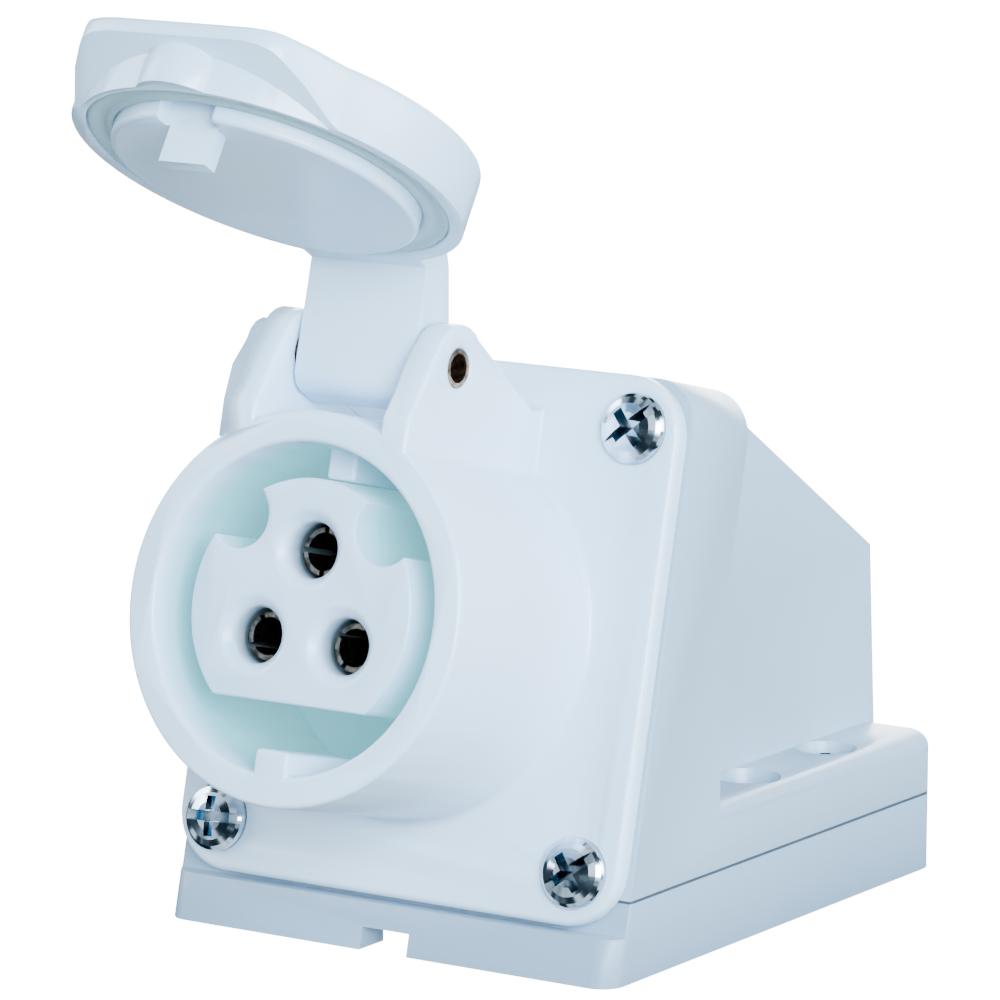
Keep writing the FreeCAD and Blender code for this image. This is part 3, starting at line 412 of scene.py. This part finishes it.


# Colours over a metal's patches, by their place in the pattern, and the painted shade in the screws'
# crosses
zincPatches = {0.38: (0.36, 0.42, 0.50), 0.62: (0.74, 0.80, 0.88)}
zincRecessShade = {"reach": 0.0016, "from": 0.45, "to": 0.8, "color": (0.02, 0.06, 0.09)}
pinPatches = {0.35: (0.22, 0.10, 0.045), 0.65: (0.5, 0.36, 0.26)}
springPatches = {0.3: (0.3, 0.3, 0.31), 0.7: (0.55, 0.56, 0.58)}
contactPatches = {0.35: (0.09, 0.065, 0.045), 0.6: (0.34, 0.28, 0.22)}
finishes = {
    "housing": mouldedPlastic("housingPlastic", (0.34, 0.45, 0.55), roughness=0.34, seam=True),
    "base": mouldedPlastic("basePlastic", (0.26, 0.36, 0.46), roughness=0.42, grain=0.12, seam=True),
    "shell": mouldedPlastic("shellPlastic", (0.62, 0.79, 0.94), roughness=0.24, glowShadeFrom=0.0211),
    "insert": mouldedPlastic("insertPlastic", (0.60, 0.75, 0.93), roughness=0.3, glowShadeFrom=0.0115),
    "lid": mouldedPlastic("lidPlastic", (0.60, 0.77, 0.92), roughness=0.24),
    "lid_seal": mouldedPlastic("sealRubber", (0.42, 0.60, 0.62), roughness=0.5, grain=0.2),
    "body_seal": mouldedPlastic("darkRubber", (0.10, 0.11, 0.12), roughness=0.6, grain=0.2),
    "grommet": mouldedPlastic("grommetRubber", (0.36, 0.43, 0.48), roughness=0.6, grain=0.2),
    "screw": metal("zinc", zincPatches, roughness=0.12, patchScale=260.0, detail=2.0, recessShade=zincRecessShade),
    "pin": metal("pinSteel", pinPatches),
    "spring": metal("springSteel", springPatches),
    "contact": metal("contactMetal", contactPatches, roughness=0.22),
}
print("materials are made")

# Moulded pieces: copies of the solids with their sharp edges rounded
softening = {
    "merge": 1e-6,
    "flatAngle": math.radians(1.0),
    "sharpAngle": math.radians(32),
    "segments": 2,
}
cheekZone = {"across": -0.0139, "reach": 0.0262, "depth": -0.0225}  # the left cheek keeps its edges
rounding = {
    "socket_shell": {"width": 0.0006, "clamp": False, "spare": cheekZone},
    "housing": {"width": 0.0005, "clamp": True},
    "base_plate": {"width": 0.0004, "clamp": True},
    "contact_carrier": {"width": 0.0004, "clamp": False},
    "lid": {"width": 0.0005, "clamp": True},
    "cable_grommet": {"width": 0.0003, "clamp": True},
}


def adopt(piece, *names):
    # the piece stands for these nodes and moves with their body
    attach(piece, bodyOf[names[0]])
    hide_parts(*names)


def inZone(point, zone):
    # past a distance to the left, away from the collar's axis and clear of the panel
    offset = point - collarCentre
    depth = offset.dot(collarAxis)
    reach = (offset - collarAxis * depth).length
    return point.x < zone["across"] and reach > zone["reach"] and depth > zone["depth"]


def roundedCopy(name, setup):
    # copy of a node, merged and cleared of flat seams, with its edges rounded
    work = bmesh.new()
    work.from_mesh(nodes[name].data)
    bmesh.ops.remove_doubles(work, verts=work.verts, dist=softening["merge"])
    flatAngle = softening["flatAngle"]
    bmesh.ops.dissolve_limit(work, angle_limit=flatAngle, verts=work.verts, edges=work.edges)
    weight = work.edges.layers.float.new("bevel_weight_edge")
    spare = setup.get("spare")
    for edge in work.edges:
        sharp = edge.is_manifold and edge.calc_face_angle() > softening["sharpAngle"]
        middle = (edge.verts[0].co + edge.verts[1].co) / 2
        kept = spare and inZone(middle, spare)
        edge[weight] = 1.0 if sharp and not kept else 0.0
    mesh = bpy.data.meshes.new(f"{name}_soft")
    work.to_mesh(mesh)
    work.free()
    mesh.materials.clear()
    mesh.materials.append(finishes[slotOf[name]])
    piece = bpy.data.objects.new(f"{name}_soft", mesh)
    bpy.context.scene.collection.objects.link(piece)
    bevel = piece.modifiers.new("rounding", "BEVEL")
    bevel.width = setup["width"]
    bevel.segments = softening["segments"]
    bevel.limit_method = "WEIGHT"
    bevel.use_clamp_overlap = setup["clamp"]
    bevel.harden_normals = True
    mesh.shade_smooth()
    adopt(piece, name)


for name, setup in rounding.items():
    roundedCopy(name, setup)
print("moulded pieces are rounded")

# Lid seal: a soft ring that fills the lid's groove from wall to wall
lidSealSetup = {
    "steps": 192,
    "overlap": 0.00006,
    "dip": 0.0005,
    "lipWidth": 0.0006,
    "lipCorner": 0.3,  # share of the lip that its corner takes off
    "shoulder": 0.7,  # share of the dip that lies beside the lips
}


def lidFrame():
    # axes of the open lid: x across, y towards its nose end, z out of its outer face
    turn = Matrix.Rotation(-openAngle, 3, "X")
    out = turn @ collarAxis
    across = Vector((1, 0, 0))
    return np.array([across, out.cross(across), out])


def gridPiece(name, points, shape, node):
    # a grid of points that closes on itself both ways becomes a mesh that stands for a node
    rows, columns = shape
    here = np.arange(rows * columns).reshape(rows, columns)
    onward = np.roll(here, -1, axis=0)
    sideways = np.roll(here, -1, axis=1)
    both = np.roll(onward, -1, axis=1)
    quads = np.stack([here, sideways, both, onward], axis=-1).reshape(-1, 4)
    mesh = bpy.data.meshes.new(name)
    mesh.from_pydata(points.tolist(), [], quads.tolist())
    work = bmesh.new()
    work.from_mesh(mesh)
    bmesh.ops.recalc_face_normals(work, faces=work.faces)
    work.to_mesh(mesh)
    work.free()
    mesh.shade_smooth()
    mesh.materials.append(finishes[slotOf[node]])
    piece = bpy.data.objects.new(name, mesh)
    bpy.context.scene.collection.objects.link(piece)
    adopt(piece, node)


def makeLidSeal(setup):
    # a ring whose section dips between two round lips, carried round the lid's axis
    axes = lidFrame()
    source = nodes["lid_seal"].data
    flat = np.empty(len(source.vertices) * 3)
    source.vertices.foreach_get("co", flat)
    local = flat.reshape(-1, 3) @ axes.T
    low = local.min(axis=0)
    high = local.max(axis=0)
    middle = (low + high) / 2
    middle[2] = 0
    reach = np.hypot(local[:, 0] - middle[0], local[:, 1] - middle[1])
    inner = reach.min() - setup["overlap"]
    outer = reach.max() + setup["overlap"]
    face = low[2]
    lip = setup["lipWidth"]
    corner = lip * setup["lipCorner"]
    shoulder = setup["dip"] * setup["shoulder"]
    section = np.array([
        (inner, high[2]), (inner, face + lip), (inner + corner, face + corner),
        (inner + lip, face), (inner + lip * 2, face + shoulder),
        ((inner + outer) / 2, face + setup["dip"]), (outer - lip * 2, face + shoulder),
        (outer - lip, face), (outer - corner, face + corner), (outer, face + lip),
        (outer, high[2]),
    ])
    angles = np.linspace(0, 2 * math.pi, setup["steps"], endpoint=False)
    radius, around = np.meshgrid(section[:, 0], angles)
    height = np.broadcast_to(section[:, 1], radius.shape)
    ring = np.stack([radius * np.cos(around), radius * np.sin(around), height], axis=-1) + middle
    points = ring.reshape(-1, 3) @ axes
    gridPiece("lidSealRing", points, radius.shape, "lid_seal")


makeLidSeal(lidSealSetup)
print("lid seal is made")

# The other nodes keep the meshes of their solids and take their finishes
for name, node in nodes.items():
    for entry in node.material_slots:
        entry.material = finishes[slotOf[name]]
